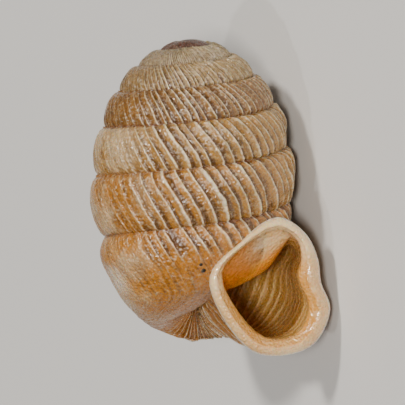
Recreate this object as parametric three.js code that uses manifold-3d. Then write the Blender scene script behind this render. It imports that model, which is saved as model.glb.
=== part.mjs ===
// A small ribbed land snail shell: one thin-walled spiral tube, coiled to the right round an
// upright axis, that ends in a reflected, heart-shaped lip. It lies on its side, as an empty
// shell does. Millimetres, +Z up, origin under the middle of the shell on the surface it lies on.
//
// Growth is counted in whorls from the apex. Whorl 6.5 and 7.5 are at the right of the axis,
// 6.75 in front and 7.0 at the left, seen with the apex up and the aperture towards the viewer.
import * as THREE from "three";
import * as BufferGeometryUtils from "three/addons/utils/BufferGeometryUtils.js";
import Module from "manifold-3d";

// ---- driving dimensions -------------------------------------------------------------------
const APEX_HEIGHT = 3.2; // from the lowest point of the lip to the apex
const SUTURE_RADIUS = 0.965; // radius of the spiral seam where the spire is widest
const WIDEST_WHORL = 6.5; // whorl count at that place
const SPIRE_ROUNDING = 1.5; // power that shapes the beehive outline of the spire
const DROP_SQUARE = 0.022; // seam height lost from the apex: a * w^2 + b * w^3
const DROP_CUBE = 0.00275;
const BULGE = 0.195; // height of a whorl's curve over its chord, as a share of the chord
const BULGE_POWER = 0.6; // under 1, so that a whorl is fullest close to its seams
const SHOULDER = 0.85; // under 1, so that a whorl is widest above its middle
const NARROWING = 0.07; // radius that the seam loses again on the last whorl
const ASCENT = 0.54; // how far the seam of the last half whorl climbs back
const WALL = 0.045; // thickness of the shell wall
const COLUMELLA = 0.1; // radius of the pillar that the whorls coil round
const FIRST_HOLLOW = 1.2; // whorl where the hollow begins
const HOLLOW_SQUARENESS = 0.75; // 1 for an oval, less for a squarer one
const HOLLOW_CHANGE = 0.6; // whorls over which that oval passes into the last whorl's section
const SPIRE_END = 6.5; // whorls of the spire, above the last one
const TUBE_START = 6.4; // the last whorl, as a tube of its own, from inside the spire
const TUBE_JOIN = 7.0; // it is made in two lengths, which meet here
const TUBE_OVERLAP = 0.02; // and overlap by this many whorls
const TUBE_END = 7.5; // and the tube leaves the round of the body here, towards the aperture
const FLOOR_DROP = 0.1; // depth of the spire's floor, inside the last whorl, under the joint's seam

// The lip lies in a plane that faces the viewer and a little to the right.
const LIP_DEPTH = -0.97; // y of that plane at the axis
const LIP_TURN = 0.27; // y gained for each millimetre to the right
const LIP_RINGS = [ // [share of the way from the opening to the lip's edge, forward]
  [0.3, -0.13], [0.85, -0.1], [1, -0.05], [0.97, 0], [0.5, 0.05], [0.12, 0.03]];

const THROAT_END = 0; // how far forward of the lip's plane the throat reaches its full width
const LIP_CLEAR = 0.12; // and where the cut that opens the lip ends
// Shares of the way round the neck between which it comes to lean on the spire, and leaves it
const LEAN_STARTS = [0.68, 0.78];
const LEAN_ENDS = [0.02, 0.08];

// The shell lies on the side of its spire that is at this azimuth, tipped a little to the apex.
const REST_SIDE = THREE.MathUtils.degToRad(25.2);
const REST_TIP = THREE.MathUtils.degToRad(-2.3);

// Sizes of the mesh
const STEPS_PER_WHORL = 36;
const ROWS = 7; // facets from one seam to the next
const AROUND_TUBE = 24;
const NECK_STEPS = 6;
const THROAT_STEPS = 9;
const HOLLOW_STEPS = 20; // steps of the hollow in each whorl
const AROUND_HOLLOW = 14;

// Section of the last whorl at stations on it: [whorl, [[radius, height] ...]], from inside the
// spire over the periphery to the base, then up the umbilical side.
const BODY_SECTIONS = [
  [6.4, [[0.7, 1.9], [0.975, 1.58], [1.0, 1.4], [0.9, 1.17], [0.7, 1.0], [0.42, 0.9],
    [0.16, 0.9], [0.06, 1.0], [0.06, 1.4], [0.3, 1.85]]],
  [6.5, [[0.7, 1.85], [0.965, 1.52], [1.0, 1.33], [0.9, 1.08], [0.7, 0.9], [0.42, 0.78],
    [0.16, 0.77], [0.06, 0.9], [0.06, 1.3], [0.3, 1.8]]],
  [6.75, [[0.68, 1.65], [0.945, 1.35], [0.985, 1.16], [0.89, 0.87], [0.7, 0.62], [0.42, 0.47],
    [0.16, 0.44], [0.05, 0.54], [0.05, 1.1], [0.3, 1.6]]],
  [7.0, [[0.66, 1.45], [0.91, 1.18], [0.96, 0.99], [0.84, 0.7], [0.68, 0.45], [0.41, 0.24],
    [0.15, 0.33], [0.05, 0.48], [0.05, 1.0], [0.3, 1.4]]],
  [7.25, [[0.66, 1.42], [0.92, 1.11], [0.975, 0.92], [0.87, 0.6], [0.7, 0.3], [0.42, 0.06],
    [0.16, 0.29], [0.05, 0.46], [0.05, 0.9], [0.3, 1.3]]],
  [7.5, [[0.75, 1.5], [1.01, 1.32], [1.1, 1.08], [1.04, 0.82], [1.1, 0.5], [0.92, 0.16],
    [0.55, 0.05], [0.14, 0.4], [0.1, 0.75], [0.35, 1.2]]],
];
// Section of the hollow at the same stations from 6.5 on
const HOLLOW_SECTIONS = [
  [6.5, [[0.65, 1.46], [0.87, 1.46], [0.94, 1.33], [0.85, 1.15], [0.68, 1.0], [0.42, 0.88],
    [0.2, 0.87], [0.12, 0.96], [0.12, 1.3], [0.3, 1.44]]],
  [6.75, [[0.65, 1.29], [0.85, 1.29], [0.93, 1.15], [0.83, 0.94], [0.64, 0.75], [0.42, 0.62],
    [0.2, 0.6], [0.12, 0.7], [0.12, 1.1], [0.3, 1.27]]],
  [7.0, [[0.65, 1.1], [0.84, 1.1], [0.91, 0.97], [0.8, 0.72], [0.64, 0.49], [0.41, 0.3],
    [0.2, 0.4], [0.13, 0.55], [0.12, 0.72], [0.3, 0.84]]],
  [7.25, [[0.65, 0.98], [0.84, 1.02], [0.92, 0.9], [0.82, 0.62], [0.66, 0.35], [0.42, 0.13],
    [0.22, 0.36], [0.13, 0.52], [0.12, 0.64], [0.3, 0.76]]],
  [7.5, [[0.76, 0.84], [0.96, 1.07], [1.05, 1.02], [0.99, 0.8], [1.04, 0.5], [0.88, 0.21],
    [0.55, 0.11], [0.24, 0.42], [0.2, 0.56], [0.43, 0.66]]],
];
// Opening inside the lip, [across, height] in the same order, and the lip's outer edge
const OPENING = [[0.86, 1.29], [1.06, 1.17], [1.1, 0.97], [1.06, 0.8], [1.17, 0.47],
  [1.02, 0.2], [0.72, 0.19], [0.46, 0.45], [0.285, 0.87], [0.52, 1.13]];
const LIP_EDGE = [[0.86, 1.42], [1.14, 1.25], [1.27, 0.98], [1.3, 0.73], [1.39, 0.45],
  [1.19, 0.08], [0.66, 0.02], [0.32, 0.36], [0.16, 0.84], [0.45, 1.17]];

// ---- spiral --------------------------------------------------------------------------------
const smooth = (a, b, x) => THREE.MathUtils.smoothstep(x, a, b);
const azimuth = (whorl) => -2 * Math.PI * (whorl - WIDEST_WHORL);

/** Radius and height of the seam above a whorl. */
function seam(whorl) {
  const rise = Math.sin((Math.PI / 2) * (whorl / WIDEST_WHORL));
  const drop = DROP_SQUARE * whorl ** 2 + DROP_CUBE * whorl ** 3;
  const climb = ASCENT * smooth(7.0, 7.5, whorl) ** 2;
  const radius = SUTURE_RADIUS * rise ** SPIRE_ROUNDING - NARROWING * smooth(6, 7.2, whorl);
  return new THREE.Vector2(radius, APEX_HEIGHT - drop + climb);
}

/** Point on a whorl's outside, at share t of the way from its upper seam to its lower one. */
function whorlPoint(whorl, t) {
  const top = seam(whorl);
  const chord = seam(whorl + 1).sub(top);
  const out = new THREE.Vector2(-chord.y, chord.x);
  const high = t ** SHOULDER;
  const full = BULGE * smooth(-2.5, 3, whorl) * (4 * high * (1 - high)) ** BULGE_POWER;
  return top.addScaledVector(chord, t).addScaledVector(out, full);
}

/** A point of the half-plane through the axis at this whorl, in space. */
function around(whorl, point) {
  const angle = azimuth(whorl);
  return new THREE.Vector3(point.x * Math.cos(angle), point.x * Math.sin(angle), point.y);
}

// ---- closed meshes -------------------------------------------------------------------------
const wasm = await Module();
wasm.setup();

/** A solid from vertices and triangles that face outwards. */
function solid(points, triangles) {
  const geometry = new THREE.BufferGeometry().setFromPoints(points);
  geometry.setIndex(triangles.flat());
  const merged = BufferGeometryUtils.mergeVertices(geometry, 1e-5);
  const made = new wasm.Manifold(new wasm.Mesh({
    numProp: 3,
    vertProperties: merged.attributes.position.array,
    triVerts: new Uint32Array(merged.index.array),
  }));
  return made;
}

/** The whorls from the apex to the start of the last one, as one solid with a floor. */
function spire() {
  const points = [];
  const triangles = [];
  const last = SPIRE_END * STEPS_PER_WHORL;
  const at = (step) => step / STEPS_PER_WHORL;
  const index = (step, row) => {
    if (row === ROWS) return index(step + STEPS_PER_WHORL, 0);
    return step <= last ? step * ROWS + row : (last + 1) * ROWS + step - last - 1;
  };
  for (let step = 0; step <= last; step++) {
    for (let row = 0; row < ROWS; row++) {
      points.push(around(at(step), whorlPoint(at(step), row / ROWS)));
    }
  }
  for (let step = last + 1; step <= last + STEPS_PER_WHORL; step++) {
    points.push(around(at(step), seam(at(step))));
  }
  for (let step = 0; step < last; step++) {
    for (let row = 0; row < ROWS; row++) {
      const [a, b] = [index(step, row), index(step + 1, row)];
      const [c, d] = [index(step, row + 1), index(step + 1, row + 1)];
      if (a !== b) triangles.push([a, b, d]);
      triangles.push([a, d, c]);
    }
  }
  // the apex, between the first turn of the seam and the start of the tube
  for (let step = 1; step < STEPS_PER_WHORL - 1; step++) {
    triangles.push([0, index(step + 1, 0), index(step, 0)]);
  }
  const beforeFull = index(STEPS_PER_WHORL - 1, 0);
  for (let row = 0; row < ROWS; row++) {
    triangles.push([beforeFull, index(0, row), index(0, row + 1)]);
  }
  // the floor and the face at the end
  const floor = points.push(new THREE.Vector3(0, 0, seam(TUBE_JOIN).y - FLOOR_DROP)) - 1;
  for (let step = last; step < last + STEPS_PER_WHORL; step++) {
    triangles.push([index(step, 0), index(step + 1, 0), floor]);
  }
  for (let row = 0; row < ROWS; row++) {
    triangles.push([index(last, row), floor, index(last, row + 1)]);
  }
  return solid(points, triangles);
}

/** A closed tube through rings of points. Each ring has the same number of them. */
function tube(rings) {
  const size = rings[0].length;
  const points = rings.flat();
  const triangles = [];
  rings.slice(1).forEach((_, r) => {
    for (let i = 0; i < size; i++) {
      const next = (i + 1) % size;
      const [a, b] = [r * size + i, r * size + next];
      triangles.push([a, b + size, b], [a, a + size, b + size]);
    }
  });
  for (const [r, flip] of [[0, true], [rings.length - 1, false]]) {
    const middle = new THREE.Vector3();
    rings[r].forEach((point) => middle.addScaledVector(point, 1 / size));
    const centre = points.push(middle) - 1;
    for (let i = 0; i < size; i++) {
      const [a, b] = [r * size + i, r * size + ((i + 1) % size)];
      triangles.push(flip ? [a, b, centre] : [b, a, centre]);
    }
  }
  return solid(points, triangles);
}

/** A closed smooth outline through [x, y] points. */
function outline(pairs, count) {
  const curve = new THREE.CatmullRomCurve3(
    pairs.map(([x, y]) => new THREE.Vector3(x, y, 0)), true);
  return Array.from({ length: count }, (_, i) => {
    const point = curve.getPoint(i / count);
    return new THREE.Vector2(point.x, point.y);
  });
}

/** The outline at a whorl count between the stations of a list of sections. */
function sectionAt(sections, whorl, count) {
  const high = Math.max(sections.findIndex(([at]) => at >= whorl - 1e-9), 1);
  const [[from, a], [to, b]] = [sections[high - 1], sections[high]];
  const share = (whorl - from) / (to - from);
  return outline(a.map(([x, y], i) => [
    THREE.MathUtils.lerp(x, b[i][0], share), THREE.MathUtils.lerp(y, b[i][1], share),
  ]), count);
}

/** Rings of a list of sections, from one whorl count to another. */
function coil(sections, from, to, perWhorl, count) {
  const steps = Math.round((to - from) * perWhorl);
  return Array.from({ length: steps + 1 }, (_, step) => {
    const whorl = from + ((to - from) * step) / steps;
    return sectionAt(sections, whorl, count).map((point) => around(whorl, point));
  });
}

/** A point of the plane of the lip, moved forward by a distance. */
const onLip = (point, forward = 0) =>
  new THREE.Vector3(point.x, LIP_DEPTH + LIP_TURN * point.x - forward, point.y);

/** 1 where the tube leans on the whorl above, at share u of the way round, and 0 elsewhere. */
const leaning = (u) => smooth(...LEAN_STARTS, u) + 1 - smooth(...LEAN_ENDS, u);

/** Rings from the end of the coil, where it leaves the body, forward to the lip. Points that
 * lean on the whorl above stay low under it, and rise just before the lip. */
function neck(start, end, steps) {
  return Array.from({ length: steps }, (_, step) => start.map((from, i) => {
    const to = end[i];
    const reach = from.distanceTo(to) / 3;
    const t = (step + 1) / steps;
    const share = THREE.MathUtils.lerp(smooth(0, 1, t), t ** 4, leaning(i / start.length));
    const depth = new THREE.CubicBezierCurve(
      ...[from.y, from.y - reach, to.y + reach, to.y].map((y) => new THREE.Vector2(0, y)));
    const point = from.clone().lerp(to, share);
    point.y = depth.getPoint(t).y;
    return point;
  }));
}

/** The last whorl and its lip. The lip is closed here, and the hollow opens it. */
function lastWhorl() {
  const early = coil(BODY_SECTIONS, TUBE_START, TUBE_JOIN + TUBE_OVERLAP, STEPS_PER_WHORL, AROUND_TUBE);
  const late = coil(BODY_SECTIONS, TUBE_JOIN, TUBE_END, STEPS_PER_WHORL, AROUND_TUBE);
  const opening = outline(OPENING, AROUND_TUBE);
  const edge = outline(LIP_EDGE, AROUND_TUBE);
  const lip = LIP_RINGS.map(([share, forward]) =>
    opening.map((point, i) => onLip(point.clone().lerp(edge[i], share), forward)));
  return tube(early).add(tube([...late, ...neck(late.at(-1), lip[0], NECK_STEPS), ...lip]));
}

/** Section of the hollow in the spire, an oval between two seams, the wall and the columella. */
function hollowOval(whorl) {
  const [top, bottom] = [seam(whorl).y - WALL / 2, seam(whorl + 1).y + WALL / 2];
  const middle = whorlPoint(whorl, 0.5);
  const outer = middle.x - WALL;
  return Array.from({ length: AROUND_HOLLOW }, (_, i) => {
    const angle = Math.PI / 2 - (2 * Math.PI * i) / AROUND_HOLLOW;
    const [c, s] = [Math.cos(angle), Math.sin(angle)];
    const soft = (v) => Math.sign(v) * Math.abs(v) ** HOLLOW_SQUARENESS;
    return new THREE.Vector2(
      (outer + COLUMELLA) / 2 + ((outer - COLUMELLA) / 2) * soft(c),
      (top + bottom) / 2 + ((top - bottom) / 2) * soft(s));
  });
}

/** Section of the hollow above the last whorl, where it passes into the last whorl's. */
function upperHollow(whorl) {
  const oval = hollowOval(whorl);
  const next = sectionAt(HOLLOW_SECTIONS, SPIRE_END, AROUND_HOLLOW);
  const lift = seam(whorl).y - seam(SPIRE_END).y;
  const share = smooth(SPIRE_END - HOLLOW_CHANGE, SPIRE_END, whorl);
  return oval.map((point, i) =>
    point.lerp(new THREE.Vector2(next[i].x, next[i].y + lift), share));
}

/** The hollow, from the upper whorls out through the lip. */
function hollow() {
  const steps = Math.round((SPIRE_END - FIRST_HOLLOW) * HOLLOW_STEPS);
  const upper = Array.from({ length: steps }, (_, step) => {
    const whorl = FIRST_HOLLOW + step / HOLLOW_STEPS;
    return upperHollow(whorl).map((point) => around(whorl, point));
  });
  const lower = coil(HOLLOW_SECTIONS, SPIRE_END, TUBE_END, HOLLOW_STEPS, AROUND_HOLLOW);
  const mouth = [THROAT_END, LIP_CLEAR].map((forward) =>
    outline(OPENING, AROUND_HOLLOW).map((point) => onLip(point, forward)));
  const throat = neck(lower.at(-1), mouth[0], THROAT_STEPS);
  return tube([...upper, ...lower, ...throat, mouth[1]]);
}

/** A part's geometry from a solid. */
function geometryOf(body) {
  const { vertProperties, triVerts } = body.getMesh();
  const geometry = new THREE.BufferGeometry();
  geometry.setAttribute("position", new THREE.BufferAttribute(vertProperties, 3));
  geometry.setIndex(new THREE.BufferAttribute(triVerts, 1));
  return geometry;
}

/** Lays a mesh down on its resting side, over the origin. */
function layDown(mesh) {
  mesh.rotation.set(-Math.PI / 2 + REST_TIP, 0, Math.PI / 2 - REST_SIDE);
  mesh.updateMatrixWorld(true);
  const box = new THREE.Box3().setFromObject(mesh, true);
  const middle = box.getCenter(new THREE.Vector3());
  mesh.position.set(-middle.x, -middle.y, -box.min.z);
}

const horn = new THREE.MeshStandardMaterial({ color: 0xb98a55, roughness: 0.4, metalness: 0 });
const shell = new THREE.Mesh(geometryOf(spire().add(lastWhorl()).subtract(hollow())), horn);
shell.name = "shell";
layDown(shell);

const group = new THREE.Group();
group.add(shell);
export default group;
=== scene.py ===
import math
from itertools import pairwise

import bpy
import numpy as np
from mathutils import Matrix, Vector


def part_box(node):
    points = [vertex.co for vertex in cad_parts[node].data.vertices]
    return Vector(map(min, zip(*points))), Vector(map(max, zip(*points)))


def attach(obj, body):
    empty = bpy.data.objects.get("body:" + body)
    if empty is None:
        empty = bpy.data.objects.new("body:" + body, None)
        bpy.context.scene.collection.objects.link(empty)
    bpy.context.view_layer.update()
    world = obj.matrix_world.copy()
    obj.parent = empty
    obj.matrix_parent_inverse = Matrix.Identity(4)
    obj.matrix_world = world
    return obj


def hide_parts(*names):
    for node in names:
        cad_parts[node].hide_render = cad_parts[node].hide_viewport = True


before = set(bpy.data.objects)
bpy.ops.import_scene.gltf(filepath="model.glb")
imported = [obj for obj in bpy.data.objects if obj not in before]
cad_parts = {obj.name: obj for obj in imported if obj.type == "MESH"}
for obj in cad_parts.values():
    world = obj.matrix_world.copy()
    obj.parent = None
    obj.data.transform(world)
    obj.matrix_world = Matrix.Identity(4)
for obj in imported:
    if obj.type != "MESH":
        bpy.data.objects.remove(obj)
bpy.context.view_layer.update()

# A small ribbed land snail shell that lies on its side, as one hollow piece. Sizes are in
# millimetres, in the shell's own frame, until the finished mesh is laid down: the coiling axis
# is Z, the apex is up and the lip faces -Y. Growth is counted in whorls from the apex, and whorl
# 6.5 is to the right of the axis, 6.75 in front of it and 7.0 to the left.
MM = 0.001

# ---- sizes of the shell, as the CAD model has them ---------------------------------------------
APEX_HEIGHT = 3.2
PIP = 0.012  # radius of the coil at its very start
SEAM_RADIUS = 0.965
WIDEST_WHORL = 6.5
SPIRE_ROUNDING = 1.5
DROP_SQUARE = 0.022
DROP_CUBE = 0.00275
NARROWING = 0.07
ASCENT = 0.54
BULGE = 0.195
BULGE_POWER = 0.6
SHOULDER = 0.85  # below 1, the widest part of a whorl is above its middle
WALL = 0.045
COLUMELLA = 0.1
FIRST_HOLLOW = 1.2
SPIRE_END = 6.5
TUBE_START = 6.42
TUBE_END = 7.5
NECK_WHORLS = 0.11  # that the neck counts as, from the end of the tube to the lip
LIP_DEPTH = -0.97
LIP_TURN = 0.27
REST_SIDE = math.radians(25.2)
REST_TIP = math.radians(-2.3)

# Outlines of the last whorl at stations on it: {whorl: [(radius, height), ...]}, from inside the
# spire over the periphery to the base, then up the umbilical side.
BODY_SECTIONS = {
    6.4: [(0.7, 1.9), (0.975, 1.58), (1.0, 1.4), (0.9, 1.17), (0.7, 1.0), (0.42, 0.9),
          (0.16, 0.9), (0.06, 1.0), (0.06, 1.4), (0.3, 1.85)],
    6.5: [(0.7, 1.85), (0.965, 1.52), (1.0, 1.33), (0.9, 1.08), (0.7, 0.9), (0.42, 0.78),
          (0.16, 0.77), (0.06, 0.9), (0.06, 1.3), (0.3, 1.8)],
    6.75: [(0.68, 1.65), (0.945, 1.35), (0.985, 1.16), (0.89, 0.87), (0.7, 0.62), (0.42, 0.47),
           (0.16, 0.44), (0.05, 0.54), (0.05, 1.1), (0.3, 1.6)],
    7.0: [(0.66, 1.45), (0.91, 1.18), (0.96, 0.99), (0.84, 0.7), (0.68, 0.45), (0.41, 0.24),
          (0.15, 0.33), (0.05, 0.48), (0.05, 1.0), (0.3, 1.4)],
    7.25: [(0.66, 1.42), (0.92, 1.11), (0.975, 0.92), (0.87, 0.6), (0.7, 0.3), (0.42, 0.06),
           (0.16, 0.29), (0.05, 0.46), (0.05, 0.9), (0.3, 1.3)],
    7.5: [(0.75, 1.5), (1.01, 1.32), (1.1, 1.08), (1.04, 0.82), (1.1, 0.5), (0.92, 0.16),
          (0.55, 0.05), (0.14, 0.4), (0.1, 0.75), (0.35, 1.2)],
}
HOLLOW_SECTIONS = {
    6.5: [(0.65, 1.46), (0.87, 1.46), (0.94, 1.33), (0.85, 1.15), (0.68, 1.0), (0.42, 0.88),
          (0.2, 0.87), (0.12, 0.96), (0.12, 1.3), (0.3, 1.44)],
    6.75: [(0.65, 1.29), (0.85, 1.29), (0.93, 1.15), (0.83, 0.94), (0.64, 0.75), (0.42, 0.62),
           (0.2, 0.6), (0.12, 0.7), (0.12, 1.1), (0.3, 1.27)],
    7.0: [(0.65, 1.1), (0.84, 1.1), (0.91, 0.97), (0.8, 0.72), (0.64, 0.49), (0.41, 0.3),
          (0.2, 0.4), (0.13, 0.55), (0.12, 0.72), (0.3, 0.84)],
    7.25: [(0.65, 0.98), (0.84, 1.02), (0.92, 0.9), (0.82, 0.62), (0.66, 0.35), (0.42, 0.13),
           (0.22, 0.36), (0.13, 0.52), (0.12, 0.64), (0.3, 0.76)],
    7.5: [(0.76, 0.84), (0.96, 1.07), (1.05, 1.02), (0.99, 0.8), (1.04, 0.5), (0.88, 0.21),
          (0.55, 0.11), (0.24, 0.42), (0.2, 0.56), (0.43, 0.66)],
}
OPENING = [(0.86, 1.29), (1.06, 1.17), (1.1, 0.97), (1.06, 0.8), (1.17, 0.47),
           (1.02, 0.2), (0.72, 0.19), (0.46, 0.45), (0.285, 0.87), (0.52, 1.13)]
LIP_EDGE = [(0.86, 1.42), (1.14, 1.25), (1.27, 0.98), (1.3, 0.73), (1.39, 0.45),
            (1.19, 0.08), (0.66, 0.02), (0.32, 0.36), (0.16, 0.84), (0.45, 1.17)]
# The lip's back, edge and face, and the throat that runs in from it, as (share of the way from
# the opening to the lip's edge, forward)
LIP_BACK = [(0.3, -0.13), (0.42, -0.11), (0.75, -0.095), (0.93, -0.08), (1.0, -0.05),
            (0.995, -0.02), (0.95, 0.01), (0.82, 0.045), (0.62, 0.07), (0.42, 0.075), (0.2, 0.06)]
THROAT = [(0.0, -0.06), (0.01, -0.035), (0.05, -0.01), (0.12, 0.01), (0.22, 0.03), (0.36, 0.055),
          (0.6, 0.12)]

# ---- sizes of the ribs -------------------------------------------------------------------------
RIB_SLANT = 0.05  # whorls by which a rib's foot lags behind its head
RIB_BEND = 0.35  # how much more of that lag comes near the head than near the foot
NAVEL_BEND = 0.28  # whorls by which a rib runs ahead at the navel
RIB_HEIGHT = 0.042
RIB_SHARPNESS = 2.2
RIB_FRONT = 0.87  # share of the way to the next rib at which its steep face starts
LOWEST_RIB = 0.5  # of the rib height, and by how much more chance may raise one
RIB_CHANCE = 0.6
EARLY_RIBS = 0.45  # of the rib height, on the early whorls
BALD_LOSS = 0.93  # share of the ribs' height lost where they are missing, and where worn
WORN_LOSS = 0.85
SEAM_CLEAR = 20.0  # ribs are whole from one part in this of the way from seam to seam
LUMP_HEIGHT = 0.016
RIBS_LAST = 45.0  # ribs in a whorl near the lip
RIBS_EXTRA = 93.6  # and the surplus on the early whorls, which dies away
RIBS_FADE = 1.2
WHORL_HEIGHT = 0.62  # of the last whorl's side, seam to seam, where ribs are measured

# What the surface carries for its ribs and colours: ribs since the apex, share of the way from
# seam to seam, whorls since the apex, place on the lip (0 to 1 on its back, 2 at its inner edge
# and 3 down the throat), and whether it is inside or on the wall that leans on the spire
TRAITS = ("phase", "across", "whorl", "lip", "inner", "parietal")

# ---- the view ----------------------------------------------------------------------------------
VIEW_RISE = math.radians(5)  # of the camera above the level across the shell's axis
VIEW_ROLL = math.radians(1)
VIEW_DISTANCE = 60.0
VIEW_WIDTH = 4.17
VIEW_CENTRE = (0.103, 0.0, 1.519)
SENSOR = 36.0
FLOOR = 0.5  # half of its width, in metres
LAMP_DISTANCE = 300.0
# Lamps as (direction in the shell's own frame: right, away, up the axis; width; watts; colour)
LAMPS = {
    "key": ((-0.8, -0.65, 0.65), 32, 0.58, (1, 0.95, 0.88)),
    "side": ((0.95, -0.4, 0.3), 36, 2.2, (1, 0.92, 0.8)),
    "front": ((-0.15, -1.0, 0.05), 50, 0.62, (1, 0.95, 0.88)),
    "low": ((-0.75, -0.8, -0.35), 12, 0.14, (1, 0.97, 0.94)),
    "high": ((0.35, -0.75, 0.75), 12, 0.1, (1, 0.97, 0.94)),
}

# ---- fineness of the mesh ----------------------------------------------------------------------
COLUMNS = 600  # in one whorl
ROWS = 11
AROUND = 50
NECK_COLUMNS = 44
EARLY_HOLLOW_COLUMNS = 36
HOLLOW_COLUMNS = 90
HOLLOW_AROUND = 30
HOLLOW_NECK = 20


# ================================================================================================
# Node trees
# ================================================================================================
class Wire:
    """A socket that can be used in sums. An expression adds its own Math nodes."""

    def __init__(self, tree, socket):
        self.tree = tree
        self.socket = socket

    def math(self, operation, *others):
        values = dict(enumerate((self, *others)))
        return self.tree.add("ShaderNodeMath", {"operation": operation}, values)

    def __add__(self, other):
        return self.math("ADD", other)

    def __sub__(self, other):
        return self.math("SUBTRACT", other)

    def __rsub__(self, other):
        return (self * -1.0) + other

    def __mul__(self, other):
        return self.math("MULTIPLY", other)

    def __truediv__(self, other):
        return self.math("DIVIDE", other)

    def __pow__(self, other):
        return self.math("POWER", other)

    __radd__ = __add__
    __rmul__ = __mul__

    def clamp(self):
        return self.math("MAXIMUM", 0.0).math("MINIMUM", 1.0)

    def smooth(self, low, high):
        """0 below low and 1 above high, with a smooth step between."""
        return self.tree.add(
            "ShaderNodeMapRange", {"interpolation_type": "SMOOTHSTEP"},
            {"Value": self, "From Min": low, "From Max": high})

    def split(self):
        """The three parts of a vector."""
        return self.tree.add("ShaderNodeSeparateXYZ", {}, {"Vector": self}, "X", "Y", "Z")


class Tree:
    """Adds nodes to a node tree."""

    def __init__(self, nodes):
        self.nodes = nodes

    def feed(self, socket, value):
        for each in value if isinstance(value, list) else [value]:
            if isinstance(each, Wire):
                self.nodes.links.new(each.socket, socket)
            else:
                socket.default_value = each

    def add(self, kind, settings=None, inputs=None, *outputs):
        """A node of a type, its settings, then the values or links of its sockets by name or
        number. Returns the outputs asked for, or the first one."""
        node = self.nodes.nodes.new(kind)
        for name, value in (settings or {}).items():
            if name == "stops":
                ramp = node.color_ramp.elements
                for stop in range(len(value) - len(ramp)):
                    ramp.new(0.5)
                for element, (position, colour) in zip(ramp, value):
                    element.position = position
                    element.color = (*colour, 1.0)
            else:
                setattr(node, name, value)
        for name, value in (inputs or {}).items():
            self.feed(node.inputs[name], value)
        found = [Wire(self, node.outputs[name]) for name in outputs]
        return found or (Wire(self, node.outputs[0]) if node.outputs else None)

    def vector(self, x, y, z=0.0):
        return self.add("ShaderNodeCombineXYZ", {}, {"X": x, "Y": y, "Z": z})

    def noise(self, scale, detail, **place):
        """Smooth noise about 0.5, at a vector, at a number W or at the point itself."""
        settings = {"noise_dimensions": "1D"} if "W" in place else {}
        inputs = {"Scale": scale, "Detail": detail} | place
        return self.add("ShaderNodeTexNoise", settings, inputs, "Fac")[0]

    def store(self, geometry, name, value, domain="POINT", kind="FLOAT"):
        return self.add("GeometryNodeStoreNamedAttribute", {"data_type": kind, "domain": domain},
                        {"Geometry": geometry, "Name": name, "Value": value})

    def named(self, name):
        return self.add("GeometryNodeInputNamedAttribute", {"data_type": "FLOAT"}, {"Name": name},
                        "Attribute")[0]


# ================================================================================================
# The last whorl and the hollow, lofted through their sections
# ================================================================================================
def smoothstep(low, high, x):
    t = np.clip((x - low) / (high - low), 0.0, 1.0)
    return t * t * (3 - 2 * t)


def seam(whorl):
    """Radius and height of the seam above a whorl."""
    grown = max(whorl, 0.0)
    rise = math.sin(math.pi / 2 * grown / WIDEST_WHORL) ** SPIRE_ROUNDING
    radius = max(SEAM_RADIUS * rise, PIP * (whorl + 1)) - NARROWING * smoothstep(6, 7.2, whorl)
    drop = DROP_SQUARE * grown**2 + DROP_CUBE * grown**3
    return np.array([radius, APEX_HEIGHT - drop + ASCENT * smoothstep(7, 7.5, whorl) ** 2])


def outline(points, u):
    """A closed smooth curve through points, at shares u of the way round."""
    points = np.array(points)
    count = len(points)
    place = np.asarray(u) * count
    first = np.floor(place).astype(int)
    t = (place - first)[:, None]
    a, b, c, d = (points[(first + step) % count] for step in (-1, 0, 1, 2))
    knots = [np.linalg.norm(q - p, axis=1, keepdims=True) ** 0.5 for p, q in ((a, b), (b, c), (c, d))]
    k0, k1, k2 = knots
    m1 = (b - a) / k0 - (c - a) / (k0 + k1) + (c - b) / k1
    m2 = (c - b) / k1 - (d - b) / (k1 + k2) + (d - c) / k2
    m1, m2 = m1 * k1, m2 * k1
    return (2 * b - 2 * c + m1 + m2) * t**3 + (3 * c - 3 * b - 2 * m1 - m2) * t**2 + m1 * t + b


def section(sections, whorl, u):
    """The outline at a whorl count between stations."""
    stations = sorted(sections)
    low, high = next(p for p in pairwise(stations) if whorl <= p[1] + 1e-9 or p[1] == stations[-1])
    share = (whorl - low) / (high - low)
    return (1 - share) * outline(sections[low], u) + share * outline(sections[high], u)


def around(whorl, points):
    """Points of the half-plane through the axis at this whorl, in space."""
    angle = -2 * math.pi * (whorl - WIDEST_WHORL)
    return np.stack([points[:, 0] * math.cos(angle), points[:, 0] * math.sin(angle), points[:, 1]], 1)


def rib_count(whorl):
    """Ribs from the apex to a whorl."""
    return RIBS_LAST * whorl - RIBS_EXTRA * math.exp(-(whorl - 2) / RIBS_FADE)


def rib_lag(across):
    """How far a rib lags at a share of the way from the upper seam, in whorls."""
    across = np.clip(across, 0.0, 1.9)
    return RIB_SLANT * (1 + RIB_BEND - RIB_BEND * across) * across


def across_rows(sections, u):
    """Distance of each row of an outline from the seam, along the side, in whorl heights."""
    fine = np.linspace(0, 1, 401)
    curve = outline(sections[7.0], fine)
    lengths = np.concatenate([[0], np.cumsum(np.linalg.norm(np.diff(curve, axis=0), axis=1))])
    start = np.interp(0.1, fine, lengths)
    distance = (np.interp(u, fine, lengths) - start) / WHORL_HEIGHT
    return np.where(u < 0.1, 0.0, np.where(u > 0.82, 0.0, distance))


def on_lip(points, forward):
    depth = LIP_DEPTH + LIP_TURN * points[:, 0] - forward
    return np.stack([points[:, 0], depth, points[:, 1]], 1)


def lip_ring(u, share, forward):
    inner, outer = outline(OPENING, u), outline(LIP_EDGE, u)
    return on_lip(inner + (outer - inner) * share, forward)


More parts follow.
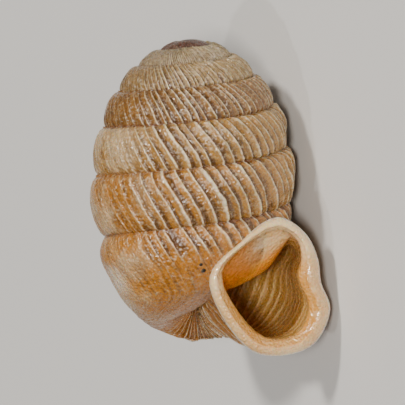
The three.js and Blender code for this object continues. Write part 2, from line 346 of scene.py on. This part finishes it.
def neck(start, end, columns, late):
    """Rings from where the tube leaves the round of the body, forward to the lip. Points that
    are late stay low under the whorl above and rise just before the lip."""
    reach = np.linalg.norm(end - start, axis=1) / 3
    late = late[:, None]
    for column in range(1, columns + 1):
        t = column / columns
        share = (1 - late) * t * t * (3 - 2 * t) + late * t**4
        ring = start + (end - start) * share
        depth = (1 - t) ** 2 * (start[:, 1] * (1 + 2 * t) - 3 * t * reach)
        ring[:, 1] = depth + t**2 * (end[:, 1] * (3 - 2 * t) + 3 * (1 - t) * reach)
        yield ring


def last_lag(whorl, across):
    """How far a rib of the last whorl lags, which dies away towards the neck. On the base, ribs
    bend forward and pass beside the navel."""
    bend = NAVEL_BEND * np.clip((across - 1.1) / 0.8, 0, 1) ** 2
    bend = bend * smoothstep(6.6, 7.0, whorl) * (1 - smoothstep(7.0, TUBE_END, whorl))
    return rib_lag(across) * (1 - smoothstep(7.2, TUBE_END, whorl)) - bend


def slanted(sections, whorl, u, across):
    """A ring whose points lie along one rib."""
    lag = last_lag(whorl, across)
    low = min(sections)
    ring = [around(max(whorl - back, low), section(sections, max(whorl - back, low), [at]))[0]
            for at, back in zip(u, lag)]
    return np.array(ring)


class Rings:
    """The rings of a closed tube, with the traits of their points."""

    def __init__(self, across):
        self.across = across
        self.rings = []
        self.values = {name: [] for name in TRAITS}

    def add(self, ring, **traits):
        self.rings.append(ring)
        for name, value in (traits | {"across": self.across}).items():
            self.values[name].append(value * np.ones(len(ring)))

    def mesh(self, name):
        size = len(self.across)
        points = np.concatenate([*self.rings, [self.rings[0].mean(0)], [self.rings[-1].mean(0)]])
        first, last = len(points) - 2, len(points) - 1
        end = (len(self.rings) - 1) * size
        faces = []
        for start in range(0, end, size):
            for i in range(size):
                j = (i + 1) % size
                faces.append((start + i, start + size + i, start + size + j, start + j))
        for i in range(size):
            j = (i + 1) % size
            faces.append((i, j, first))
            faces.append((end + j, end + i, last))
        mesh = bpy.data.meshes.new(name)
        mesh.from_pydata(points.tolist(), [], faces)
        for key, columns in self.values.items():
            layer = mesh.attributes.new(key, "FLOAT", "POINT")
            flat = np.concatenate([np.concatenate(columns), [columns[0][0], columns[-1][0]]])
            layer.data.foreach_set("value", flat.astype(np.float32))
        return mesh


def last_whorl():
    """The outside of the last whorl, its neck and its lip."""
    u = np.arange(AROUND) / AROUND
    across = across_rows(BODY_SECTIONS, u)
    outside = Rings(across)

    def add(ring, whorl, lip):
        outside.add(ring, phase=rib_count(whorl), whorl=whorl - last_lag(whorl, across), lip=lip,
                    inner=0, parietal=parietal(u) * min(1.0, lip))

    for step in range(round((TUBE_END - TUBE_START) * COLUMNS) + 1):
        whorl = TUBE_START + step / COLUMNS
        add(slanted(BODY_SECTIONS, whorl, u, across), whorl, 0)
    end = lip_ring(u, *LIP_BACK[0])
    for column, ring in enumerate(neck(outside.rings[-1], end, NECK_COLUMNS, parietal(u)), 1):
        add(ring, TUBE_END + NECK_WHORLS * column / NECK_COLUMNS, 0)
    start = LIP_BACK[0][0]
    for share, forward in LIP_BACK[1:]:
        back = (share - start) / (1 - start)
        add(lip_ring(u, share, forward), TUBE_END + NECK_WHORLS, back if forward < -0.05 else 2 - share)
    return outside.mesh("last whorl")


def parietal(u):
    """Where the hollow leans on the whorl above: 1 there, and 0 round the rest."""
    return smoothstep(0.68, 0.78, u) + 1 - smoothstep(0.02, 0.08, u)


def hollow_section(whorl, u):
    """The hollow's section in the spire, an oval that passes into the last whorl's."""
    top, bottom = seam(whorl)[1] - WALL / 2, seam(whorl + 1)[1] + WALL / 2
    low, high = seam(whorl), seam(whorl + 1)
    chord = high - low
    bulge = BULGE * smoothstep(-2.5, 3, whorl)
    outer = low[0] + chord[0] / 2 - chord[1] * bulge - WALL
    angle = math.pi / 2 - 2 * math.pi * u
    soft = [np.sign(v) * np.abs(v) ** 0.75 for v in (np.cos(angle), np.sin(angle))]
    oval = np.stack([(outer + COLUMELLA) / 2 + (outer - COLUMELLA) / 2 * soft[0],
                     (top + bottom) / 2 + (top - bottom) / 2 * soft[1]], 1)
    lift = [0.0, seam(whorl)[1] - seam(SPIRE_END)[1]]
    share = smoothstep(SPIRE_END - 0.6, SPIRE_END, whorl)
    return (1 - share) * oval + share * (outline(HOLLOW_SECTIONS[SPIRE_END], u) + lift)


def hollow():
    """The space inside the shell, from the early whorls out through the lip."""
    u = np.arange(HOLLOW_AROUND) / HOLLOW_AROUND
    across = across_rows(HOLLOW_SECTIONS, u)
    lobe = 0.7 * (1 - smoothstep(0.06, 0.16, np.abs(u - 0.04 - np.round(u))))
    inside = Rings(across)

    def add(ring, whorl, lip):
        phase = np.array([rib_count(whorl + lag) for lag in rib_lag(across)])
        inside.add(ring, phase=phase, whorl=whorl, lip=3 - lip - lobe * min(1.0, 3 * lip), inner=1,
                   parietal=parietal(u))

    for step in range(round((SPIRE_END - FIRST_HOLLOW) * EARLY_HOLLOW_COLUMNS)):
        whorl = FIRST_HOLLOW + step / EARLY_HOLLOW_COLUMNS
        add(around(whorl, hollow_section(whorl, u)), whorl, 0)
    for step in range(round((TUBE_END - SPIRE_END) * HOLLOW_COLUMNS) + 1):
        whorl = SPIRE_END + step / HOLLOW_COLUMNS
        add(around(whorl, section(HOLLOW_SECTIONS, whorl, u)), whorl, 0)
    end = lip_ring(u, *THROAT[0])
    for column, ring in enumerate(neck(inside.rings[-1], end, HOLLOW_NECK, parietal(u)), 1):
        share = column / HOLLOW_NECK
        add(ring, TUBE_END + NECK_WHORLS * share, 0.3 * smoothstep(0.6, 1, share))
    for step, (share, forward) in enumerate(THROAT[1:], 1):
        add(lip_ring(u, share, forward), TUBE_END + NECK_WHORLS, 0.3 + 0.7 * min(1, step / 3))
    return inside.mesh("hollow")


# ================================================================================================
# The shell: Geometry Nodes coil the spire by its rule, raise the ribs and open the hollow
# ================================================================================================
SHELL_SIZES = {"Apex height": APEX_HEIGHT, "Seam radius": SEAM_RADIUS, "Rib height": RIB_HEIGHT,
               "Rib sharpness": RIB_SHARPNESS, "Rib slant": RIB_SLANT, "Ribs in a whorl": RIBS_LAST}


def seam_fields(whorl, size):
    """Radius and height of the seam above a whorl, as in seam()."""
    grown = whorl.math("MAXIMUM", 0.0)
    rise = (grown * (math.pi / 2 / WIDEST_WHORL)).math("SINE") ** SPIRE_ROUNDING
    drop = grown**2.0 * DROP_SQUARE + grown**3.0 * DROP_CUBE
    radius = (rise * size["Seam radius"]).math("MAXIMUM", (whorl + 1.0) * PIP)
    radius = radius - whorl.smooth(6.0, 7.2) * NARROWING
    return radius, size["Apex height"] - drop + whorl.smooth(7.0, 7.5) ** 2.0 * ASCENT


def coiled_spire(tree, size):
    """A grid whose columns run along the ribs and whose rows run along the seam, coiled up."""
    first = RIB_SLANT - 1.0
    columns = round((SPIRE_END - first) * COLUMNS)
    grid = tree.add("GeometryNodeMeshGrid", {}, {
        "Size X": float(columns), "Size Y": 1.0, "Vertices X": columns + 1, "Vertices Y": ROWS + 1})
    x, y, _ = tree.add("GeometryNodeInputPosition").split()
    column = (x + columns / 2) / float(COLUMNS) + first
    across = 0.5 - ((y + 0.5) * math.pi).math("COSINE") * 0.5
    lag = size["Rib slant"] * across * (1 + RIB_BEND - across * RIB_BEND)
    grid = tree.store(grid, "across", across)
    grid = tree.store(grid, "whorl", column - lag)
    surplus = ((column - 2.0) * (-1 / RIBS_FADE)).math("EXPONENT") * RIBS_EXTRA
    grid = tree.store(grid, "phase", size["Ribs in a whorl"] * column - surplus)
    for trait in ("lip", "inner", "parietal"):
        grid = tree.store(grid, trait, 0.0)
    grid = tree.store(grid, "seam", y.math("ABSOLUTE").math("GREATER_THAN", 0.49999))
    across, whorl = tree.named("across"), tree.named("whorl")
    radius, height = seam_fields(whorl, size)
    low_radius, low_height = seam_fields(whorl + 1.0, size)
    out, down = low_radius - radius, low_height - height
    high = across ** SHOULDER
    crown = (high * (1.0 - high) * 4.0).math("MAXIMUM", 0.0) ** BULGE_POWER
    crown = crown * whorl.smooth(-2.5, 3.0) * BULGE
    radius = radius + across * out - crown * down
    height = height + across * down + crown * out
    angle = (whorl - WIDEST_WHORL) * (-2 * math.pi)
    coil = tree.vector(radius * angle.math("COSINE"), radius * angle.math("SINE"), height)
    return tree.add("GeometryNodeSetPosition", {}, {"Geometry": grid, "Position": coil})


def keep_traits(tree, geometry):
    """Moves the traits to the face corners, where the seams keep both sides. The ribs' count
    goes unevenly, which gives crooked ribs at uneven distances."""
    phase = tree.named("phase")
    uneven = tree.noise(0.55, 1.0, W=phase) - 0.5
    crooked = tree.noise(7.0, 2.0) - 0.5
    geometry = tree.store(geometry, "phase", phase + uneven * 0.9 + crooked * 0.4)
    growth = tree.vector(tree.named("phase"), tree.named("across"), tree.named("parietal"))
    geometry = tree.store(geometry, "growth", growth, "CORNER", "FLOAT_VECTOR")
    place = tree.vector(tree.named("whorl"), tree.named("lip"), tree.named("inner"))
    return tree.store(geometry, "place", place, "CORNER", "FLOAT_VECTOR")


def ribs_lost(whorl, across):
    """Where ribs are missing: on the front of the last whorl, first on its base, to come back
    behind it. And where they are worn: on the side that faces left."""
    bald = across.smooth(0.25, 0.6).math("MAXIMUM", whorl.smooth(6.8, 6.88))
    bald = bald * (1.0 - whorl.smooth(7.03, 7.1)) * whorl.smooth(6.4, 6.6)
    return bald, (whorl * (2 * math.pi)).math("COSINE").smooth(0.2, 0.85)


def raise_ribs(tree, geometry, size):
    """Lifts the ribs, and some low lumps, along the surface's normal. A rib is a blade: it falls
    away slowly ahead of its crest and steeply behind it."""
    phase, across, whorl = tree.named("phase"), tree.named("across"), tree.named("whorl")
    ahead = phase.math("FRACT")
    blade = (1.0 - ahead) ** size["Rib sharpness"]
    wave = blade.math("MAXIMUM", (ahead - RIB_FRONT) / (1 - RIB_FRONT))
    rib = (phase + (1 - RIB_FRONT)).math("FLOOR")
    chance = tree.add("ShaderNodeTexWhiteNoise", {"noise_dimensions": "1D"}, {"W": rib}, "Value")[0]
    # nothing stands up at the seams, except where the last whorl goes on round its base
    head = (across * SEAM_CLEAR).math("MINIMUM", 1.0)
    foot = ((1.0 - across) * SEAM_CLEAR).math("MAXIMUM", whorl.smooth(6.38, 6.42)).clamp()
    free = head * foot * (1.0 - tree.named("lip")).clamp() * (1.0 - tree.named("inner"))
    whole = tree.noise(3.5, 2.0).smooth(0.32, 0.52) * 0.6 + 0.4
    bald, worn = ribs_lost(whorl, across)
    grown = whorl.smooth(0.6, 4.5) * (1 - EARLY_RIBS) + EARLY_RIBS
    height = wave * (chance * RIB_CHANCE + LOWEST_RIB) * whole * grown * whorl.smooth(0.6, 1.4)
    height = height * (1.0 - bald * BALD_LOSS) * (1.0 - worn * WORN_LOSS)
    lump = (tree.noise(9.0, 3.0) - 0.5) * LUMP_HEIGHT
    lift = tree.add("ShaderNodeVectorMath", {"operation": "SCALE"}, {
        "Vector": tree.add("GeometryNodeInputNormal"),
        "Scale": (height * size["Rib height"] + lump) * free})
    return tree.add("GeometryNodeSetPosition", {}, {"Geometry": geometry, "Offset": lift})


def close_spire(tree, spire):
    """A floor closes the spire's open edge below, and a point closes the start of the coil."""
    rim = tree.add("GeometryNodeInputMeshEdgeNeighbors").math("COMPARE", 1.0, 0.1)
    floor, top = tree.add("GeometryNodeExtrudeMesh", {"mode": "EDGES"},
                          {"Mesh": spire, "Selection": rim, "Offset Scale": 0.0}, "Mesh", "Top")
    low = float(seam(7)[1] - 0.1)
    high = tree.add("GeometryNodeInputPosition").split()[2].math("GREATER_THAN", 2.0)
    pole = tree.vector(0.0, 0.0, high * (APEX_HEIGHT - low) + low)
    floor = tree.add("GeometryNodeSetPosition", {}, {
        "Geometry": floor, "Selection": top, "Position": pole})
    return tree.add("GeometryNodeMergeByDistance", {}, {
        "Geometry": floor, "Selection": top, "Distance": 1e-6})


def shell_nodes(material):
    """Geometry Nodes: mesh of the last whorl and the hollow in, finished shell out."""
    group = bpy.data.node_groups.new("ribbed shell", "GeometryNodeTree")
    tree = Tree(group)
    group.interface.new_socket("Geometry", in_out="INPUT", socket_type="NodeSocketGeometry")
    for name in SHELL_SIZES:
        group.interface.new_socket(name, in_out="INPUT", socket_type="NodeSocketFloat")
    group.interface.new_socket("Geometry", in_out="OUTPUT", socket_type="NodeSocketGeometry")
    names = ["Geometry", *SHELL_SIZES]
    size = dict(zip(names, tree.add("NodeGroupInput", {}, {}, *names)))

    spire = keep_traits(tree, coiled_spire(tree, size))
    spire = tree.add("GeometryNodeMergeByDistance", {}, {
        "Geometry": spire, "Selection": tree.named("seam"), "Distance": 2e-5})
    spire = close_spire(tree, raise_ribs(tree, spire, size))
    tail, inside = tree.add("GeometryNodeSeparateGeometry", {"domain": "POINT"}, {
        "Geometry": size["Geometry"], "Selection": tree.named("inner")}, "Inverted", "Selection")
    tail = raise_ribs(tree, keep_traits(tree, tail), size)
    joined = tree.add("GeometryNodeMeshBoolean", {"operation": "UNION", "solver": "MANIFOLD"},
                      {1: [spire, tail]})
    opened = tree.add("GeometryNodeMeshBoolean", {"operation": "DIFFERENCE", "solver": "MANIFOLD"},
                      {0: joined, 1: keep_traits(tree, inside)})
    smooth = tree.add("GeometryNodeSetShadeSmooth", {}, {"Geometry": opened})
    real = tree.add("GeometryNodeRealizeInstances", {}, {"Geometry": smooth})
    made = tree.add("GeometryNodeSetMaterial", {}, {"Geometry": real, "Material": material})
    tree.add("NodeGroupOutput", {}, {"Geometry": made})
    return group


def plain_mesh(blank, group):
    """Runs a Geometry Nodes tree on a mesh, and gives the result as a plain mesh."""
    base = bpy.data.objects.new("blank", blank)
    bpy.context.scene.collection.objects.link(base)
    modifier = base.modifiers.new("shell", "NODES")
    modifier.node_group = group
    for item in group.interface.items_tree:
        if item.in_out == "INPUT" and item.name in SHELL_SIZES:
            modifier[item.identifier] = SHELL_SIZES[item.name]
    graph = bpy.context.evaluated_depsgraph_get()
    mesh = bpy.data.meshes.new_from_object(base.evaluated_get(graph), depsgraph=graph)
    bpy.data.objects.remove(base)
    return mesh


def lay_down(mesh):
    """Turns the mesh on its resting side and puts it where the CAD shell is, in metres."""
    turn = Matrix.Rotation(REST_TIP - math.pi / 2, 4, "X") @ Matrix.Rotation(
        math.pi / 2 - REST_SIDE, 4, "Z")
    mesh.transform(Matrix.Scale(MM, 4) @ turn)
    corners = np.empty(len(mesh.vertices) * 3, np.float32)
    mesh.vertices.foreach_get("co", corners)
    corners = corners.reshape(-1, 3)
    low, high = Vector(corners.min(0)), Vector(corners.max(0))
    cad_low, cad_high = (Vector(corner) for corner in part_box("shell"))
    shift = (cad_low + cad_high) / 2 - (low + high) / 2
    shift.z = cad_low.z - low.z
    mesh.transform(Matrix.Translation(shift))
    return turn.to_3x3(), shift


# ================================================================================================
# Materials
# ================================================================================================
# Horn colour by whorls from the apex, as a share of eight: red-brown start, greyish early whorls,
# warm brown last ones
HORN_COLOURS = [
    (0.0, (0.1, 0.022, 0.005)), (0.12, (0.13, 0.03, 0.006)), (0.2, (0.4, 0.31, 0.19)),
    (0.34, (0.36, 0.23, 0.09)), (0.44, (0.2, 0.075, 0.01)), (0.56, (0.38, 0.19, 0.035)),
    (0.69, (0.44, 0.2, 0.025)), (0.78, (0.46, 0.16, 0.01)), (1.0, (0.58, 0.25, 0.02))]
# Colours besides the horn's. Some of them are painted light and shade: the dark of the furrows also
# paints the shade behind each rib, and others paint light on the slope ahead of each rib, highlights on
# the crests, glints, a sheen and shade in the seams
COLOURS = {
    "furrow": (0.075, 0.028, 0.004), "rib side": (0.64, 0.44, 0.18), "mottling": (0.85, 0.66, 0.4),
    "sheen": (1.0, 0.92, 0.78), "base": (0.38, 0.14, 0.02), "seam": (0.13, 0.035, 0.006),
    "crest": (0.98, 0.88, 0.65), "dirt": (0.02, 0.01, 0.004), "cream": (0.97, 0.74, 0.42),
    "amber": (0.66, 0.3, 0.04), "lip edge": (1.0, 0.93, 0.8), "throat": (0.46, 0.25, 0.055),
    "throat lines": (0.88, 0.6, 0.26), "parietal wall": (1.0, 0.36, 0.02),
    "callus": (1.0, 0.75, 0.45)}
# Specks of dirt on the last whorl beside the lip, as (whorl, across, radius in whorls)
DIRT = [(6.732, 0.8, 0.0055), (6.737, 0.67, 0.004)]


def horn_material():
    """Translucent horn-coloured shell with a cream lip, and with painted light and shade: highlights on
    the rib crests, lit slopes and shade beside the ribs, glints, a sheen, and shade in the seams.
    """
    material = bpy.data.materials.new("shell horn")
    material.use_nodes = True
    nodes = material.node_tree
    nodes.nodes.clear()
    tree = Tree(nodes)

    def attribute(name):
        return tree.add("ShaderNodeAttribute", {"attribute_name": name}, {}, "Vector")[0]

    def mix(share, a, b):
        a, b = [(*COLOURS[end], 1) if isinstance(end, str) else end for end in (a, b)]
        return tree.add("ShaderNodeMix", {"data_type": "RGBA"}, {0: share, 6: a, 7: b}, 2)[0]

    def bump(height, distance, under=None):
        inputs = {"Strength": 1.0, "Distance": distance, "Height": height}
        return tree.add("ShaderNodeBump", {}, inputs | ({"Normal": under} if under else {}))

    phase, across, parietal = attribute("growth").split()
    whorl, lip, inner = attribute("place").split()
    spot = tree.add("ShaderNodeTexCoord", {}, {}, "Object")[0]
    grain = tree.noise(52000.0, 2.0, Vector=spot)
    facets = tree.noise(34000.0, 0.0, Vector=spot)
    specks = tree.noise(26000.0, 1.0, Vector=spot)
    cloud = tree.noise(2200.0, 3.0, Vector=spot)
    streak = tree.noise(1.0, 3.0, Vector=tree.vector(phase * 2.6, across * 2.5))
    lipness = lip.smooth(0.2, 0.8) * (1.0 - lip.smooth(2.1, 2.9))

    ahead = phase.math("FRACT")
    bald, worn = ribs_lost(whorl, across)
    shown = (1.0 - bald * 0.9) * (1.0 - worn * 0.8) * (cloud.smooth(0.28, 0.48) * 0.45 + 0.55)
    shown = shown * whorl.smooth(0.8, 1.8)
    # painted highlight: a whitish line along each rib's crest
    crest = (1.0 - ahead * 6.5).math("MAXIMUM", (ahead - 0.95) * 20.0).clamp() * shown
    crest = crest * (specks.smooth(0.3, 0.5) * 0.6 + 0.4)
    # painted light: paler on the gentle slope ahead of each crest, where the lamps light it
    painted_slope_light = (1.0 - ahead) ** 2.5 * shown
    # painted shade: a dark band behind each rib's steep face, where shade falls
    painted_shade = ahead.smooth(0.35, 0.84) * (1.0 - ahead.smooth(0.92, 0.97)) * shown
    ramp = tree.add("ShaderNodeValToRGB", {"stops": HORN_COLOURS}, {"Fac": whorl / 8.0}, "Color")[0]
    # the dark furrow colour paints the striae, grain and tone, and also the painted shade behind each
    # rib
    dark = mix(0.9, ramp, "furrow")
    furrow = streak.smooth(0.45, 0.62) * 0.45 + painted_shade * 0.95 + cloud.smooth(0.5, 0.7) * 0.2
    furrow = furrow + grain.smooth(0.5, 0.62) * 0.35
    horn = mix(furrow.math("MINIMUM", 1.0), ramp, dark)
    # painted light on the slope ahead of each rib
    horn = mix(painted_slope_light * 0.35, horn, "rib side")
    # painted glints: pale specks all over, and pale patches on the side of the later whorls that faces
    # left
    painted_glint_patches = worn * cloud.smooth(0.42, 0.62) * whorl.smooth(4.3, 5.0) * 0.45
    pale = specks.smooth(0.5, 0.75) * grain.smooth(0.45, 0.6) * 0.4 + painted_glint_patches
    horn = mix(pale * (whorl.smooth(0.8, 1.8) * 0.5 + 0.5), horn, "mottling")
    # painted reflection: a whitish sheen on the left of the last whorl
    sheen = whorl.smooth(6.88, 6.94) * (1.0 - whorl.smooth(6.94, 6.99)) * across.smooth(0.4, 0.7)
    sheen = sheen * (1.0 - across.smooth(0.8, 1.2)) * streak.smooth(0.3, 0.6)
    horn = mix(sheen * 0.6, horn, "sheen")
    horn = mix(across.smooth(1.1, 1.6) * 0.6, horn, "base")
    # painted shade: darker at the seams between the whorls, where shade falls in the crease
    seam = (1.0 - across.smooth(0.0, 0.06)) + across.smooth(0.95, 1.0) * (1.0 - whorl.smooth(6.35, 6.4))
    horn = mix(seam.clamp() * cloud.smooth(0.3, 0.6) * 0.8, horn, "seam")
    # painted highlight on the rib crests
    horn = mix(crest * 0.9, horn, "crest")
    for dirt_whorl, dirt_across, radius in DIRT:
        east, north = whorl - dirt_whorl, (across - dirt_across) * 0.1
        far = (east * east + north * north).math("SQRT") / radius
        horn = mix((1.0 - far.smooth(0.6, 1.0)) * (1.0 - inner), horn, "dirt")
    amber = grain.smooth(0.4, 0.7) * 0.3 + lip.smooth(1.2, 2.0) * 0.4 + cloud.smooth(0.4, 0.6) * 0.3
    below = across * (1.0 - parietal)
    amber = (amber + 0.2) * (below.smooth(0.05, 0.5) * 0.6 + 0.4)
    amber = amber * (1.0 - below.smooth(2.3, 3.0) * 0.7)
    cream = mix(amber, "cream", "amber")
    edge = lip.smooth(0.5, 0.9) * (1.0 - lip.smooth(1.0, 1.12))
    cream = mix(edge * 0.8, cream, "lip edge")
    lines = (1.0 - ahead * 2.5).math("MAXIMUM", (ahead - 0.9) * 10.0).clamp() * 0.8
    lines = lines + streak.smooth(0.5, 0.7) * 0.3
    inside = mix(lines.clamp(), "throat", "throat lines")
    inside = mix(parietal, inside, "parietal wall")
    # painted glints: pale speckle on the parietal wall near the lip
    callus = parietal * (1.0 - lip.smooth(2.1, 2.9)) * cloud.smooth(0.4, 0.6)
    inside = mix(callus * specks.smooth(0.35, 0.65) * 0.35, inside, "callus")
    colour = mix(inner, horn, inside)
    colour = mix(lipness, colour, cream)

    fine = bump(streak * (1.0 - parietal), 0.00002)
    fine = bump(facets, 0.000013, fine)
    shader = tree.add("ShaderNodeBsdfPrincipled", {}, {
        "Base Color": colour, "Roughness": specks.smooth(0.4, 0.6) * 0.3 + 0.08, "Normal": fine,
        "Subsurface Weight": 0.4, "Subsurface Radius": (1.0, 0.55, 0.2),
        "Subsurface Scale": 0.000025, "Coat Weight": lipness * 0.9,
        "Coat Roughness": 0.08, "IOR": 1.75})
    tree.add("ShaderNodeOutputMaterial", {}, {"Surface": shader})
    return material


def paper_material():
    material = bpy.data.materials.new("pale floor")
    material.use_nodes = True
    shader = material.node_tree.nodes["Principled BSDF"]
    shader.inputs["Base Color"].default_value = (0.75, 0.74, 0.72, 1)
    shader.inputs["Roughness"].default_value = 0.8
    return material


# ================================================================================================
# The piece, the floor, the lights and the camera
# ================================================================================================
def link(name, data):
    made = bpy.data.objects.new(name, data)
    bpy.context.scene.collection.objects.link(made)
    return made


def make_shell():
    group = shell_nodes(horn_material())
    parts = [link("part", last_whorl()), link("part", hollow())]
    with bpy.context.temp_override(active_object=parts[0], selected_editable_objects=parts):
        bpy.ops.object.join()
    mesh = plain_mesh(parts[0].data, group)
    bpy.data.objects.remove(parts[0])
    turn, shift = lay_down(mesh)
    shell = link("snail_shell", mesh)
    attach(shell, "root")
    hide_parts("shell")
    return turn, shift


def make_floor():
    mesh = bpy.data.meshes.new("floor")
    corners = [(-FLOOR, -FLOOR, 0), (FLOOR, -FLOOR, 0), (FLOOR, FLOOR, 0), (-FLOOR, FLOOR, 0)]
    mesh.from_pydata(corners, [], [(0, 1, 2, 3)])
    mesh.materials.append(paper_material())
    link("floor", mesh)


def aim(thing, place, target, up):
    """Puts a camera or a light at a place, looking at a target."""
    back = (place - target).normalized()
    right = up.cross(back).normalized()
    over = back.cross(right)
    thing.matrix_world = Matrix.Translation(place) @ Matrix((right, over, back)).transposed().to_4x4()


def make_camera(turn, shift):
    """Looks at the lip, from a little above. The turn and the shift lay the shell down."""
    away = Vector((0, -math.cos(VIEW_RISE), math.sin(VIEW_RISE)))
    up = Vector((math.sin(VIEW_ROLL), math.sin(VIEW_RISE) * math.cos(VIEW_ROLL),
                 math.cos(VIEW_RISE) * math.cos(VIEW_ROLL)))
    target = turn @ Vector(VIEW_CENTRE) * MM + shift
    data = bpy.data.cameras.new("camera")
    data.sensor_width = SENSOR
    data.lens = SENSOR * VIEW_DISTANCE / VIEW_WIDTH
    data.clip_start = 0.001
    camera = link("camera", data)
    aim(camera, target + turn @ away * VIEW_DISTANCE * MM, target, turn @ up)
    bpy.context.scene.camera = camera
    return target


def make_lamp(name, turn, target, direction, size, power, colour):
    """A soft lamp in a direction given in the shell's own frame."""
    data = bpy.data.lights.new(name, "AREA")
    data.size = size * MM
    data.energy = power
    data.color = colour
    place = target + turn @ Vector(direction).normalized() * LAMP_DISTANCE * MM
    aim(link(name, data), place, target, Vector((0.13, 0.2, 0.97)))


def make_world():
    world = bpy.data.worlds.new("studio")
    world.use_nodes = True
    background = world.node_tree.nodes["Background"]
    background.inputs["Color"].default_value = (0.8, 0.83, 0.88, 1)
    background.inputs["Strength"].default_value = 0.15
    bpy.context.scene.world = world


turn, shift = make_shell()
make_floor()
target = make_camera(turn, shift)
for name, lamp in LAMPS.items():
    make_lamp(name, turn, target, *lamp)
make_world()
